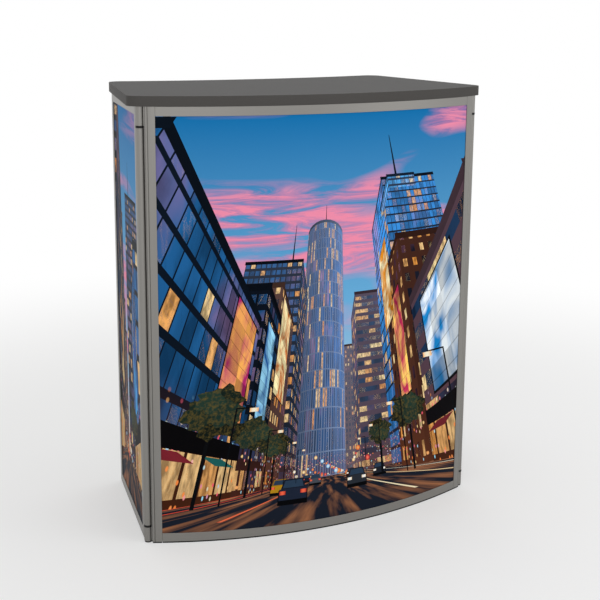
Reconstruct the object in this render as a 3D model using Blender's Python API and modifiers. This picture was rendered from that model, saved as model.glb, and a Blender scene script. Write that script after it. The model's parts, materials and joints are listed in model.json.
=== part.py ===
# Folding exhibition counter: a curved front frame, a side frame hinged to each end of it, and a countertop
# that lifts off. The two top hinge pins locate it and a magnet in each rear post holds it.
# Lengths are in metres. X runs along the front, Y from the front to the back, Z up.
# The origin is on the floor, under the middle of the countertop.

import math

import bmesh
import bpy
from mathutils import Matrix, Vector

# Overall
overall_height = 1.016
top_thickness = 0.022
foot_height = 0.0035
seat_gap = 0.0003            # between pieces that touch

# Frame profiles
frame_depth = 0.013          # outer face to inner face
rail_height = 0.0205
post_width = 0.0225
lip = 0.0015                 # wall in front of the panel slot
wall = 0.0015
slot_depth = 0.007
panel_thickness = 0.003
panel_grip = 0.006           # how far a panel's edge goes into its slot
bead_radius = 0.0033         # rounded bead along a post's outer edge
bead_groove = 0.0009         # width of the groove beside the bead
post_round = 0.001           # chamfer on a post's corners

# Front frame, on an arc in plan
front_radius = 1.0525        # of its outer face
front_opening = 0.772        # between the posts, along the chord

# Hinges
barrel_radius = 0.009
hinge_gap = 0.0014           # barrel to the front post
fold_gap = 0.0005            # how far the hinge axis lies in front of the front frame's inner face
web_thickness = 0.0045
web_setback = 0.0045         # front post's web, behind the barrel's front
knuckle_top = 0.0410         # lengths of the front post's two knuckles
knuckle_bottom = 0.0332
collar_thickness = 0.0045
collar_radius = 0.0095
bush_radius = 0.0062
bush_length = 0.022
pin_radius = 0.004
pin_in_barrel = 0.055
pin_above_frame = 0.012
running_gap = 0.0004         # pin to bush, bush to barrel

# Side frames
side_splay = math.radians(7.7)      # off the Y axis, closing towards the back
side_opening = 0.317
side_face = 0.007            # outer face, outside the hinge axis
side_post_width = 0.013
side_neck = 0.011            # from the barrel to the side's hinge post

# Countertop
overhang_front = 0.001
overhang_hinge = 0.0205      # beyond the side frame, level with the hinge
overhang_rear = 0.004        # beyond the side frame, level with its rear end
overhang_back = 0.0495       # of the back corners, behind the rear posts
back_hollow = 0.043          # depth of the hollow back edge
corner_radius = 0.030
edging_thickness = 0.003
edge_rounding = 0.0025
socket_wall = 0.0022
socket_depth = 0.0135
strike_radius = 0.008
strike_thickness = 0.0015

# Inner pieces
block_length = 0.030
spigot_length = 0.014
cap_length = 0.020
magnet_radius = 0.003
magnet_length = 0.005

# Facets
front_steps = 36
back_steps = 20
corner_steps = 8
barrel_steps = 28
turned_steps = 28

frame_bottom = foot_height
frame_top = overall_height - top_thickness - seat_gap
slot_width = panel_thickness + 2 * seat_gap
slot_back = lip + slot_width
hinge_reach = post_width + hinge_gap + barrel_radius
hinge_setback = frame_depth - fold_gap
front_web = hinge_setback - barrel_radius + web_setback
bore_radius = pin_radius + running_gap
side_start = barrel_radius + side_neck + side_post_width
arc_centre = Vector((0.0, front_radius + overhang_front))     # until the plan is centred below


# Plan geometry

def circle(centre, radius, start, end, steps):
    """Points on an arc, from the start angle to the end angle."""
    turn = (end - start) / steps
    return [
        (centre[0] + radius * math.cos(start + i * turn), centre[1] + radius * math.sin(start + i * turn))
        for i in range(steps + 1)
    ]


def bearing(vector):
    return math.atan2(vector[1], vector[0])


class Plan:
    """A frame member's own plan axes: a runs along the frame, u from its outer face inwards."""

    def __init__(self, origin, along, inward):
        self.origin = origin
        self.along = along
        self.inward = inward

    def at(self, a, u):
        return self.origin + a * self.along + u * self.inward

    def loop(self, points):
        return [tuple(self.at(a, u)) for a, u in points]


front_angle = math.asin(front_opening / 2 / front_radius)


def front_end(hand):
    """The front frame's end on one hand, where a post meets the rails: a points to the hinge."""
    sine, cosine = hand * math.sin(front_angle), math.cos(front_angle)
    origin = arc_centre + front_radius * Vector((sine, -cosine))
    return Plan(origin, Vector((hand * cosine, hand * sine)), Vector((-sine, cosine)))


def hinge_axis(hand):
    return front_end(hand).at(hinge_reach, hinge_setback)


def side_axes(hand):
    """The side frame's direction, front to back, and its outward normal."""
    along = Vector((-hand * math.sin(side_splay), math.cos(side_splay)))
    outward = Vector((hand * math.cos(side_splay), math.sin(side_splay)))
    return along, outward


def side_end(hand, rear):
    """The side frame's front or rear end, where a post meets the rails: a points away from the panel."""
    along, outward = side_axes(hand)
    distance = side_start + (side_opening if rear else 0)
    origin = hinge_axis(hand) + distance * along + side_face * outward
    return Plan(origin, along if rear else -along, -outward)


def top_corners():
    """Front and back corners of the countertop's right side, before they are rounded."""
    _, outward = side_axes(1)
    hinge_side = hinge_axis(1) + side_face * outward + Vector((overhang_hinge, 0))
    rear_side = side_end(1, True).at(post_width, 0) + Vector((overhang_rear, 0))
    slope = (rear_side - hinge_side) / (rear_side.y - hinge_side.y)
    back = rear_side + overhang_back * slope
    radius = front_radius + overhang_front
    a = slope.length_squared
    b = slope.dot(hinge_side - arc_centre)
    c = (hinge_side - arc_centre).length_squared - radius * radius
    front = hinge_side + slope * (-b - math.sqrt(b * b - a * c)) / a
    return front, back


def top_outline(inset=0.0):
    """The countertop's outline in plan, drawn in by the inset, anticlockwise."""
    front, back = top_corners()
    along = (back - front).normalized()
    outward = Vector((along.y, -along.x))
    radius = front_radius + overhang_front
    back_radius = (back.x ** 2 + back_hollow ** 2) / (2 * back_hollow)
    back_centre = Vector((0.0, back.y - back_hollow + back_radius))
    line = front - corner_radius * outward

    def on_line(centre, distance):
        """The point of the line, which runs inside the side, that lies this far from a centre."""
        b = along.dot(line - centre)
        c = (line - centre).length_squared - distance * distance
        return line - along * (b + math.sqrt(b * b - c))

    front_round = on_line(arc_centre, radius - corner_radius)
    back_round = on_line(back_centre, back_radius + corner_radius)
    rounding = corner_radius - inset
    start = bearing(front_round - arc_centre)
    side = bearing(outward)
    end = bearing(back_centre - back_round)
    half = circle(arc_centre, radius - inset, -math.pi / 2, start, front_steps // 2)
    half += circle(front_round, rounding, start, side, corner_steps)[1:]
    half += circle(back_round, rounding, side, end, corner_steps)
    half += circle(back_centre, back_radius + inset, bearing(back_round - back_centre), -math.pi / 2,
                   back_steps // 2)[1:]
    return half + [(-x, y) for x, y in reversed(half[1:-1])]


outline_y = [y for _, y in top_outline()]
arc_centre = arc_centre - Vector((0.0, (min(outline_y) + max(outline_y)) / 2))


# Scene and materials

def clear():
    for item in list(bpy.data.objects):
        bpy.data.objects.remove(item, do_unlink=True)


def collection(name):
    group = bpy.data.collections.new(name)
    bpy.context.scene.collection.children.link(group)
    return group


clear()
counter = collection("exhibition_counter")
cutters = collection("cutters")

finishes = {
    "anodised": ((0.28, 0.28, 0.27), 0.38, 0.9),
    "steel": ((0.55, 0.55, 0.55), 0.28, 1.0),
    "print": ((0.07, 0.19, 0.42), 0.45, 0.0),
    "laminate": ((0.13, 0.13, 0.125), 0.42, 0.0),
    "edging": ((0.085, 0.08, 0.078), 0.45, 0.0),
    "black_plastic": ((0.012, 0.012, 0.013), 0.5, 0.0),
    "rubber": ((0.015, 0.015, 0.015), 0.75, 0.0),
    "cast": ((0.35, 0.35, 0.34), 0.55, 0.8),
    "magnet": ((0.6, 0.6, 0.6), 0.2, 1.0),
}


def paint(item, finish):
    colour, roughness, metallic = finishes[finish]
    material = bpy.data.materials.new(item.name)
    material.use_nodes = True
    shader = material.node_tree.nodes["Principled BSDF"]
    shader.inputs["Base Color"].default_value = (*colour, 1.0)
    shader.inputs["Roughness"].default_value = roughness
    shader.inputs["Metallic"].default_value = metallic
    item.data.materials.clear()
    item.data.materials.append(material)


def tidy(mesh):
    """Welds a new mesh, turns its faces outwards and shades it."""
    shape = bmesh.new()
    shape.from_mesh(mesh)
    bmesh.ops.remove_doubles(shape, verts=shape.verts, dist=0.00001)
    bmesh.ops.recalc_face_normals(shape, faces=shape.faces)
    shape.to_mesh(mesh)
    shape.free()
    mesh.shade_smooth()
    mesh.set_sharp_from_angle(angle=math.radians(30))


def add(name, mesh, finish, group=counter):
    mesh.name = name
    item = bpy.data.objects.new(name, mesh)
    group.objects.link(item)
    paint(item, finish)
    return item


# Shapes

def outline_mesh(loops, length, matrix):
    """A flat outline with holes, extruded by the length from its own plane and placed by the matrix."""
    curve = bpy.data.curves.new("outline", "CURVE")
    curve.dimensions = "2D"
    curve.fill_mode = "BOTH"
    curve.extrude = length / 2
    for loop in loops:
        spline = curve.splines.new("POLY")
        spline.points.add(len(loop) - 1)
        for point, (x, y) in zip(spline.points, loop):
            point.co = (x, y, 0, 1)
        spline.use_cyclic_u = True
    guide = bpy.data.objects.new("outline", curve)
    counter.objects.link(guide)
    bpy.context.view_layer.update()
    evaluated = guide.evaluated_get(bpy.context.evaluated_depsgraph_get())
    mesh = bpy.data.meshes.new_from_object(evaluated)
    bpy.data.objects.remove(guide, do_unlink=True)
    bpy.data.curves.remove(curve)
    mesh.transform(matrix @ Matrix.Translation((0, 0, length / 2)))
    tidy(mesh)
    return mesh


def upright(loops, bottom, top):
    """A plan outline extruded up from one height to another."""
    return outline_mesh(loops, top - bottom, Matrix.Translation((0, 0, bottom)))


def along_side(loop, hand, start, end, edge, up):
    """A rail section (u inwards, v away from the panel) run along a side frame between two distances."""
    along, outward = side_axes(hand)
    origin = hinge_axis(hand) + start * along + side_face * outward
    matrix = Matrix((
        (-outward.x, 0, along.x, origin.x),
        (-outward.y, 0, along.y, origin.y),
        (0, up, 0, edge),
        (0, 0, 0, 1),
    ))
    return outline_mesh([loop], end - start, matrix)


def around_front(loop, start, end, steps, edge, up):
    """A rail section (u inwards, v away from the panel) swept round the front's arc between two angles."""
    shape = bmesh.new()
    centre = arc_centre.to_3d()
    verts = []
    for u, v in loop:
        radius = front_radius - u
        place = Vector((radius * math.sin(start), -radius * math.cos(start), edge + up * v))
        verts.append(shape.verts.new(centre + place))
    edges = [shape.edges.new((verts[i - 1], verts[i])) for i in range(len(verts))]
    bmesh.ops.spin(shape, geom=edges + verts, cent=centre, axis=(0, 0, 1), angle=end - start, steps=steps)
    open_edges = [e for e in shape.edges if e.is_boundary]
    bmesh.ops.holes_fill(shape, edges=open_edges, sides=0)
    mesh = bpy.data.meshes.new("swept")
    shape.to_mesh(mesh)
    shape.free()
    tidy(mesh)
    return mesh


def turned(name, profile, place, finish, group=counter):
    """A profile of radius and height pairs, outer side running down, turned about a vertical axis."""
    mesh = bpy.data.meshes.new(name)
    closed = profile[0] == profile[-1]
    points = profile[:-1] if closed else profile
    edges = [(i, i + 1) for i in range(len(points) - 1)]
    if closed:
        edges.append((len(points) - 1, 0))
    mesh.from_pydata([(radius, 0, height) for radius, height in points], edges, [])
    item = add(name, mesh, finish, group)
    item.location = place
    screw = item.modifiers.new("turn", "SCREW")
    screw.steps = turned_steps
    screw.render_steps = turned_steps
    screw.use_merge_vertices = True
    screw.merge_threshold = 0.00001
    screw.use_smooth_shade = True
    return item


def cutter(name, mesh):
    item = bpy.data.objects.new(name, mesh)
    cutters.objects.link(item)
    item.display_type = "WIRE"
    item.hide_render = True
    return item


def boolean(item, tool, operation="DIFFERENCE"):
    step = item.modifiers.new(tool.name, "BOOLEAN")
    step.operation = operation
    step.solver = "EXACT"
    step.object = tool


def cylinder(place, radius, bottom, top, steps=turned_steps):
    bpy.ops.mesh.primitive_cylinder_add(
        vertices=steps, radius=radius, depth=top - bottom, location=(place.x, place.y, (bottom + top) / 2))
    item = bpy.context.object
    mesh = item.data
    mesh.transform(Matrix.Translation(item.location))
    bpy.data.objects.remove(item, do_unlink=True)
    return mesh


# Profiles

def rectangle(a0, a1, u0, u1):
    return [(a0, u0), (a1, u0), (a1, u1), (a0, u1)]


def slot_edge():
    """The panel's side of a profile, from the inner face to the lip."""
    return [(0, frame_depth), (0, slot_back), (slot_depth, slot_back), (slot_depth, lip), (0, lip)]


def barrel_edge(width, reach, setback, web_front, inset=0.0):
    """From the post's end wall out along the web, round the barrel and back."""
    radius = barrel_radius - inset
    web_back = web_front + web_thickness
    start = math.asin((web_front + inset - setback) / radius)
    end = math.asin((web_back - inset - setback) / radius)
    rounds = circle((reach, setback), radius, -math.pi - start, math.pi - end, barrel_steps)
    return [(width, web_front + inset)] + rounds + [(width, web_back - inset)]


def bore(reach, setback, radius):
    return circle((reach, setback), radius, 0, 2 * math.pi, turned_steps)[:-1]


def beaded_post(with_barrel):
    """A post section with a bead along its outer edge, and a hinge barrel beyond it on the front posts."""
    bead = circle((post_width - bead_radius, bead_radius), bead_radius, -math.radians(145), 0, 8)
    outer = [(0, 0), (bead[0][0] - bead_groove, 0)] + bead
    if with_barrel:
        outer += barrel_edge(post_width, hinge_reach, hinge_setback, front_web)
    outer += [(post_width, frame_depth - post_round), (post_width - post_round, frame_depth)]
    return outer + slot_edge()


def post_chamber(width):
    return rectangle(slot_depth + wall, width - wall, 2 * wall, frame_depth - wall)


def side_post():
    """The side's narrow hinge post, with its neck and barrel."""
    outer = [(0, 0), (side_post_width - post_round, 0), (side_post_width, post_round)]
    outer += barrel_edge(side_post_width, side_start, side_face, post_round)
    outer += [(side_post_width, frame_depth - post_round), (side_post_width - post_round, frame_depth)]
    return outer + slot_edge()


def side_chamber():
    return rectangle(wall, side_post_width - wall, slot_back + wall, frame_depth - wall)


def rail():
    """A rail section: the panel's slot on one edge, an open channel for corner blocks on the other."""
    return [
        (0, 0), (lip, 0), (lip, slot_depth), (slot_back, slot_depth), (slot_back, 0),
        (frame_depth, 0), (frame_depth, rail_height), (frame_depth - wall, rail_height),
        (frame_depth - wall, slot_depth + wall), (lip, slot_depth + wall), (lip, rail_height),
        (0, rail_height),
    ]


def block():
    """What fills a rail's channel at the corner."""
    near = slot_depth + wall + seat_gap
    return rectangle(lip + seat_gap, frame_depth - wall - seat_gap, near, rail_height - seat_gap)


def strip():
    """The strip under a bottom rail, which stays just clear of the floor."""
    inset = wall / 2
    return rectangle(inset, frame_depth - inset, rail_height + seat_gap, rail_height + foot_height - seat_gap)


rail_bottom_edge = frame_bottom + rail_height
rail_top_edge = frame_top - rail_height
panel_bottom = rail_bottom_edge - panel_grip
panel_top = rail_top_edge + panel_grip
low_collar = frame_bottom + knuckle_bottom
high_collar = frame_top - knuckle_top


def panel():
    """The printed board's section, from one rail's slot to the other's."""
    face = lip + seat_gap
    return rectangle(face, face + panel_thickness,
                     panel_bottom - rail_bottom_edge, panel_top - rail_bottom_edge)


def post(name, end, loops):
    """A post of the frame's height, at the end of a frame."""
    return add(name, upright([end.loop(loop) for loop in loops], frame_bottom, frame_top), "anodised")


# Front frame

def front_frame():
    steps = front_steps
    reach = front_angle - seat_gap / front_radius
    for name, edge, up in (("front_rail_top", rail_top_edge, 1), ("front_rail_bottom", rail_bottom_edge, -1)):
        add(name, around_front(rail(), -reach, reach, steps, edge, up), "anodised")
    add("front_base_strip", around_front(strip(), -reach, reach, steps, rail_bottom_edge, -1), "rubber")

    block_angle = block_length / front_radius
    for level, edge, up in (("top", rail_top_edge, 1), ("bottom", rail_bottom_edge, -1)):
        left = around_front(block(), -reach, block_angle - reach, 3, edge, up)
        right = around_front(block(), reach - block_angle, reach, 3, edge, up)
        add(f"front_block_{level}_left", left, "cast")
        add(f"front_block_{level}_right", right, "cast")

    grip = front_angle + panel_grip / front_radius
    add("front_panel", around_front(panel(), -grip, grip, steps, rail_bottom_edge, 1), "print")

    for side, hand in (("left", -1), ("right", 1)):
        end = front_end(hand)
        loops = [beaded_post(True), post_chamber(post_width), bore(hinge_reach, hinge_setback, bore_radius)]
        item = post(f"front_post_{side}", end, loops)
        place = hinge_axis(hand)
        room = cylinder(place, collar_radius + seat_gap, low_collar, high_collar)
        boolean(item, cutter(f"barrel_room_{side}", room))
        foot(f"front_foot_{side}", end, foot_pad(post_width, True), post_chamber(post_width))
        hinge_pins(side, place)


def drawn_in(corners, gap):
    """A rectangle made smaller by a gap on every side."""
    (a0, u0), _, (a1, u1), _ = corners
    return rectangle(a0 + gap, a1 - gap, u0 + gap, u1 - gap)


def foot_pad(width, with_barrel=False):
    """A foot's outline, drawn in from its post's. The front feet reach under the barrel and its pin."""
    end, depth = width - post_round, frame_depth - post_round
    outer = [(post_round, post_round), (end, post_round)]
    if with_barrel:
        outer += barrel_edge(end, hinge_reach, hinge_setback, front_web, post_round)
    return outer + [(end, depth), (post_round, depth)]


def foot(name, end, pad, chamber):
    """A moulded foot under a post, with a spigot up its chamber."""
    item = add(name, upright([end.loop(pad)], 0, foot_height - seat_gap), "black_plastic")
    spigot = upright([end.loop(drawn_in(chamber, seat_gap))], foot_height / 2, foot_height + spigot_length)
    boolean(item, cutter(f"{name}_spigot", spigot), "UNION")


def hinge_pins(side, place):
    """The top pin stands proud for the countertop; the bottom one stops above the floor."""
    chamfer = pin_radius / 6
    spans = (
        ("top", high_collar - pin_in_barrel, frame_top + pin_above_frame),
        ("bottom", frame_bottom, low_collar + pin_in_barrel),
    )
    for level, bottom, top in spans:
        profile = [
            (0, top), (pin_radius - chamfer, top), (pin_radius, top - chamfer),
            (pin_radius, bottom + chamfer), (pin_radius - chamfer, bottom), (0, bottom),
        ]
        turned(f"hinge_pin_{level}_{side}", profile, place.to_3d(), "steel")


# Side frames

def side_frame(side, hand):
    start = side_start + seat_gap
    end = side_start + side_opening - seat_gap
    for name, edge, up in (("rail_top", rail_top_edge, 1), ("rail_bottom", rail_bottom_edge, -1)):
        add(f"{side}_{name}", along_side(rail(), hand, start, end, edge, up), "anodised")
    add(f"{side}_base_strip", along_side(strip(), hand, start, end, rail_bottom_edge, -1), "rubber")

    for level, edge, up in (("top", rail_top_edge, 1), ("bottom", rail_bottom_edge, -1)):
        front_block = along_side(block(), hand, start, start + block_length, edge, up)
        rear_block = along_side(block(), hand, end - block_length, end, edge, up)
        add(f"{side}_block_{level}_front", front_block, "cast")
        add(f"{side}_block_{level}_rear", rear_block, "cast")

    near = side_start - panel_grip
    far = side_start + side_opening + panel_grip
    add(f"{side}_panel", along_side(panel(), hand, near, far, rail_bottom_edge, 1), "print")

    front, rear = side_end(hand, False), side_end(hand, True)
    place = hinge_axis(hand)
    loops = [side_post(), side_chamber(), bore(side_start, side_face, bush_radius + running_gap)]
    item = post(f"{side}_hinge_post", front, loops)
    room = barrel_radius + hinge_gap / 2
    sleeve = collar_thickness + 2 * seat_gap
    low, high = low_collar + sleeve, high_collar - sleeve
    boolean(item, cutter(f"{side}_low_room", cylinder(place, room, frame_bottom - wall, low)))
    boolean(item, cutter(f"{side}_high_room", cylinder(place, room, high, frame_top + wall)))

    post(f"{side}_rear_post", rear, [beaded_post(False), post_chamber(post_width)])
    foot(f"{side}_foot_front", front, foot_pad(side_post_width), side_chamber())
    foot(f"{side}_foot_rear", rear, foot_pad(post_width), post_chamber(post_width))
    bushes(side, place, low, high)
    rear_cap(side, rear)


def bushes(side, place, low, high):
    """A flanged bush in each end of the side's barrel. The flange is the black collar."""
    for level, mouth, up in (("bottom", low, 1), ("top", high, -1)):
        seat = mouth - up * seat_gap
        face = seat - up * collar_thickness
        inner = mouth + up * bush_length
        profile = [
            (collar_radius, face), (collar_radius, seat), (bush_radius, seat), (bush_radius, inner),
            (bore_radius, inner), (bore_radius, face), (collar_radius, face),
        ]
        if up > 0:
            profile.reverse()
        turned(f"{side}_hinge_bush_{level}", profile, place.to_3d(), "black_plastic")


def magnet_place(rear):
    (a0, u0), _, (a1, u1), _ = post_chamber(post_width)
    return rear.at((a0 + a1) / 2, (u0 + u1) / 2)


def rear_cap(side, rear):
    """A plug in the top of the rear post, with a magnet set flush in it."""
    plug = rear.loop(drawn_in(post_chamber(post_width), seat_gap))
    place = magnet_place(rear)
    cap = add(f"{side}_rear_cap", upright([plug], frame_top - cap_length, frame_top), "black_plastic")
    pocket = cylinder(place, magnet_radius + seat_gap, frame_top - magnet_length - seat_gap, frame_top + wall)
    boolean(cap, cutter(f"{side}_magnet_pocket", pocket))
    add(f"{side}_magnet", cylinder(place, magnet_radius, frame_top - magnet_length, frame_top), "magnet")


# Countertop

def mark_outer_edges(mesh):
    """Gives a bevel weight to the edges between the ring's outer wall and its top and bottom."""
    shape = bmesh.new()
    shape.from_mesh(mesh)
    weight = shape.edges.layers.float.new("bevel_weight_edge")
    for edge in shape.edges:
        walls = [f for f in edge.link_faces if abs(f.normal.z) < 0.5]
        outer = [f for f in walls if f.normal.xy.dot(f.calc_center_median().xy) > 0]
        edge[weight] = 1.0 if len(walls) == 1 and outer else 0.0
    shape.to_mesh(mesh)
    shape.free()


def countertop():
    bottom = overall_height - top_thickness
    board_outline = top_outline(edging_thickness + seat_gap)
    board = add("countertop_board", upright([board_outline], bottom, overall_height), "laminate")
    ring = [top_outline(), top_outline(edging_thickness)]
    edging = add("countertop_edging", upright(ring, bottom, overall_height), "edging")
    mark_outer_edges(edging.data)
    rounding = edging.modifiers.new("rounding", "BEVEL")
    rounding.width = min(edge_rounding, edging_thickness - seat_gap)
    rounding.segments = 3
    rounding.limit_method = "WEIGHT"

    outer = bore_radius + socket_wall
    for side, hand in (("left", -1), ("right", 1)):
        place = hinge_axis(hand)
        hole = cylinder(place, outer + seat_gap, bottom - wall, bottom + socket_depth + seat_gap)
        boolean(board, cutter(f"socket_hole_{side}", hole))
        profile = [
            (outer, bottom + socket_depth), (outer, bottom), (bore_radius, bottom),
            (bore_radius, bottom + socket_depth), (outer, bottom + socket_depth),
        ]
        turned(f"pin_socket_{side}", profile, place.to_3d(), "black_plastic")
        spot = magnet_place(side_end(hand, True))
        seat = cylinder(spot, strike_radius + seat_gap, bottom - wall, bottom + strike_thickness + seat_gap)
        boolean(board, cutter(f"strike_seat_{side}", seat))
        add(f"strike_plate_{side}", cylinder(spot, strike_radius, bottom, bottom + strike_thickness), "steel")


front_frame()
side_frame("left", -1)
side_frame("right", 1)
countertop()
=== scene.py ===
from functools import partial
import json
import math

import bmesh
import bpy
from mathutils import Matrix, Vector
from mathutils.geometry import delaunay_2d_cdt


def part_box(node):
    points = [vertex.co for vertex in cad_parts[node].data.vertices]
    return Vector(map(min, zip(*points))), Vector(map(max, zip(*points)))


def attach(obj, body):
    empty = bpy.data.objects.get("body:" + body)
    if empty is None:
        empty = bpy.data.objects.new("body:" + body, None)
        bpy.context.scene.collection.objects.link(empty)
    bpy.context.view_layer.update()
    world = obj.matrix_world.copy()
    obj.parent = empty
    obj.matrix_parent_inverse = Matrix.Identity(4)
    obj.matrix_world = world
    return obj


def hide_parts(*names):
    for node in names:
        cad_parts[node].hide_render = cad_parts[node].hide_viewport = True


# Exhibition counter: three hinged aluminium frames with printed boards and a laminate top.
# Metres, X along the front, Y from front to back, Z up.

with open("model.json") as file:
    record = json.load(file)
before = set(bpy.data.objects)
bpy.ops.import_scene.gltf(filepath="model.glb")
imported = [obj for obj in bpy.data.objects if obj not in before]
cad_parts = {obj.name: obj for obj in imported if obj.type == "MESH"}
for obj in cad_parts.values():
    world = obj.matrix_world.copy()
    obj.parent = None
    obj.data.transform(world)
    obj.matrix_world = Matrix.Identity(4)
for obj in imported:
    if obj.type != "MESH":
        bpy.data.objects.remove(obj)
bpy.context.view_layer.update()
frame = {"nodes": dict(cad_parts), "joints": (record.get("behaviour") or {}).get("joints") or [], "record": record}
nodes = frame["nodes"]
record = frame["record"]
slotOf = {part["node"]: part["material_slot"] for part in record["subparts"]}
bodyOf = {node: body for body, members in record["behaviour"]["bodies"].items() for node in members}
print("frame loaded:", len(nodes), "nodes")


def addObject(name, data):
    item = bpy.data.objects.new(name, data)
    bpy.context.scene.collection.objects.link(item)
    return item


# Camera, from the photograph's corners

photoView = {
    "place": (-1.1678, -2.6484, 1.2351),
    "turn": 24.44,          # degrees right of the Y axis
    "tilt": 12.14,          # degrees down
    "roll": 0.43,
    "lens": 72.85,          # mm on a 36 mm sensor
    "shift": -0.08,         # the photograph looks level, with its horizon near the top edge
}


def makeCamera(view):
    turn, tilt, roll = (math.radians(view[key]) for key in ("turn", "tilt", "roll"))
    ahead = Vector((math.sin(turn) * math.cos(tilt), math.cos(turn) * math.cos(tilt), -math.sin(tilt)))
    level = Vector((math.cos(turn), -math.sin(turn), 0))
    upright = level.cross(ahead)
    right = math.cos(roll) * level + math.sin(roll) * upright
    up = math.cos(roll) * upright - math.sin(roll) * level
    camera = addObject("photoCamera", bpy.data.cameras.new("photoCamera"))
    camera.data.lens = view["lens"]
    camera.data.shift_y = view["shift"]
    rows = Matrix((right, up, -ahead)).transposed().to_4x4()
    camera.matrix_world = Matrix.Translation(view["place"]) @ rows
    bpy.context.scene.camera = camera


makeCamera(photoView)


# Node and colour helpers

def linear(code):
    channels = [int(code[i:i + 2], 16) / 255 for i in (1, 3, 5)]
    return (*(c / 12.92 if c <= 0.04045 else ((c + 0.055) / 1.055) ** 2.4 for c in channels), 1.0)


def addNode(tree, kind, inputs={}, out=0, stops=None, **settings):
    # adds one node with its settings and links, and gives back one of its outputs
    node = tree.nodes.new(kind if "Node" in kind else "ShaderNode" + kind)
    if kind == "Mix" and 6 in inputs:    # inputs 6 and 7 are the colours of a mix
        node.data_type = "RGBA"
        out = 2
    for key, value in settings.items():
        setattr(node, key, value)
    for key, value in inputs.items():
        if isinstance(value, bpy.types.NodeSocket):
            tree.links.new(value, node.inputs[key])
        else:
            node.inputs[key].default_value = value
    if stops:
        ramp = node.color_ramp
        while len(ramp.elements) < len(stops):
            ramp.elements.new(1.0)
        for element, (place, code) in zip(ramp.elements, stops):
            element.position = place
            element.color = linear(code)
    return node.outputs[out]


def levels(low=0.0, high=1.0, start=0.0, end=1.0):
    # inputs that turn values from low to high into values from start to end
    return {"From Min": low, "From Max": high, "To Min": start, "To Max": end}


def toned(add, colour, value, tones):
    # a colour made darker and lighter by a value
    tone = add("MapRange", {"Value": value, **tones})
    return add("VectorMath", {0: colour, "Scale": tone}, operation="SCALE")


def newMaterial(name, colour, roughness=0.5, metallic=0.0):
    # gives back the material, a function that adds a node to it, and its shader
    material = bpy.data.materials.new(name)
    material.use_nodes = True
    shader = material.node_tree.nodes["Principled BSDF"]
    shader.inputs["Base Color"].default_value = linear(colour)
    shader.inputs["Roughness"].default_value = roughness
    shader.inputs["Metallic"].default_value = metallic
    return material, partial(addNode, material.node_tree), shader


def feed(value, node, socket):
    node.id_data.links.new(value, node.inputs[socket])


def surface(add, shader, grain, depth, roughness=None):
    # a grain as bump, and as a small change of roughness between two values
    bump = add("Bump", {"Height": grain, "Distance": depth})
    feed(bump, shader, "Normal")
    if roughness:
        low, high = roughness
        sheen = add("MapRange", {"Value": grain, **levels(start=low, end=high)})
        feed(sheen, shader, "Roughness")


# Plan of the frames, as in the solids

plan = {
    "radius": 1.0525,            # of the front frame's outer face
    "splay": math.radians(7.7),  # of the side frames, closing towards the back
    "sideFace": 0.007,           # side frame's outer face, outside the hinge axis
    "sideStart": 0.033,          # hinge axis to the side's opening
    "sideOpening": 0.317,
    "panelDepth": 0.0018,        # outer face to the printed board
    "frameDepth": 0.013,         # outer face to inner face
    "postWidth": 0.0225,
    "steps": 36,
}
arcCentre = Vector((0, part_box("front_rail_top")[0][1] + plan["radius"], 0))
hingePlace = {joint["child"]: Vector(joint["pos_m"]) for joint in frame["joints"] if joint["type"] == "hinge"}


# Metals and plastics

anodise = {
    "colour": "#888682",       # grey satin anodise
    "roughness": (0.36, 0.44),
    "lineWidth": 0.0009,       # die lines, drawn coarser than the real 0.1 mm so that they show
    "lineLength": 0.35,
    "lineDepth": 0.000003,
    "grainSize": 0.0005,
    "grainShare": 0.35,
    "metallic": 0.92,
    "tones": levels(start=0.955, end=1.045),
}


def satinAnodised(name, run, splay=0.0):
    # extruded aluminium, etched and anodised: soft wide highlights, faint lines along the bar
    material, add, shader = newMaterial(name, anodise["colour"], metallic=anodise["metallic"])
    here = add("TexCoord", out=3)
    if run == "arc":
        offset = add("VectorMath", {0: here, 1: arcCentre}, operation="SUBTRACT")
        flat = add("VectorMath", {0: offset, 1: (1, 1, 0)}, operation="MULTIPLY")
        reach = add("VectorMath", {0: flat}, out=1, operation="LENGTH")
        along = add("SeparateXYZ", {0: offset}, out=0)
        height = add("SeparateXYZ", {0: here}, out=2)
        here = add("CombineXYZ", {0: reach, 1: height, 2: along})
    turn = (math.pi / 2, 0, splay) if run == "side" else (0, 0, 0)
    fine, long = 1 / anodise["lineWidth"], 1 / anodise["lineLength"]
    drawn = add("Mapping", {"Vector": here, "Rotation": turn, "Scale": (fine, fine, long)})
    lines = add("TexNoise", {"Vector": drawn, "Scale": 1.0, "Detail": 3.0})
    grains = add("TexNoise", {"Vector": here, "Scale": 1 / anodise["grainSize"], "Detail": 2.0})
    both = add("Mix", {0: anodise["grainShare"], 2: lines, 3: grains})
    tint = toned(add, linear(anodise["colour"])[:3], lines, anodise["tones"])
    feed(tint, shader, "Base Color")
    surface(add, shader, both, anodise["lineDepth"], anodise["roughness"])
    return material


ringLength = 20     # of the rings left by turning, in grains


def grained(name, colour, roughness, grainSize, depth, metallic=0.0, spread=0.06, turned=False, gloss=0.5):
    # a cast, moulded or ground surface: a fine even grain, or rings where it was turned
    material, add, shader = newMaterial(name, colour, metallic=metallic)
    shader.inputs["Specular IOR Level"].default_value = gloss
    here = add("TexCoord", out=3)
    size = 1 / grainSize
    scale = (size / ringLength, size / ringLength, size) if turned else (size, size, size)
    spot = add("Mapping", {"Vector": here, "Scale": scale})
    grain = add("TexNoise", {"Vector": spot, "Scale": 1.0, "Detail": 4.0})
    tint = toned(add, linear(colour)[:3], grain, levels(start=1 - spread, end=1 + spread))
    feed(tint, shader, "Base Color")
    surface(add, shader, grain, depth, roughness)
    return material


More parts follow.
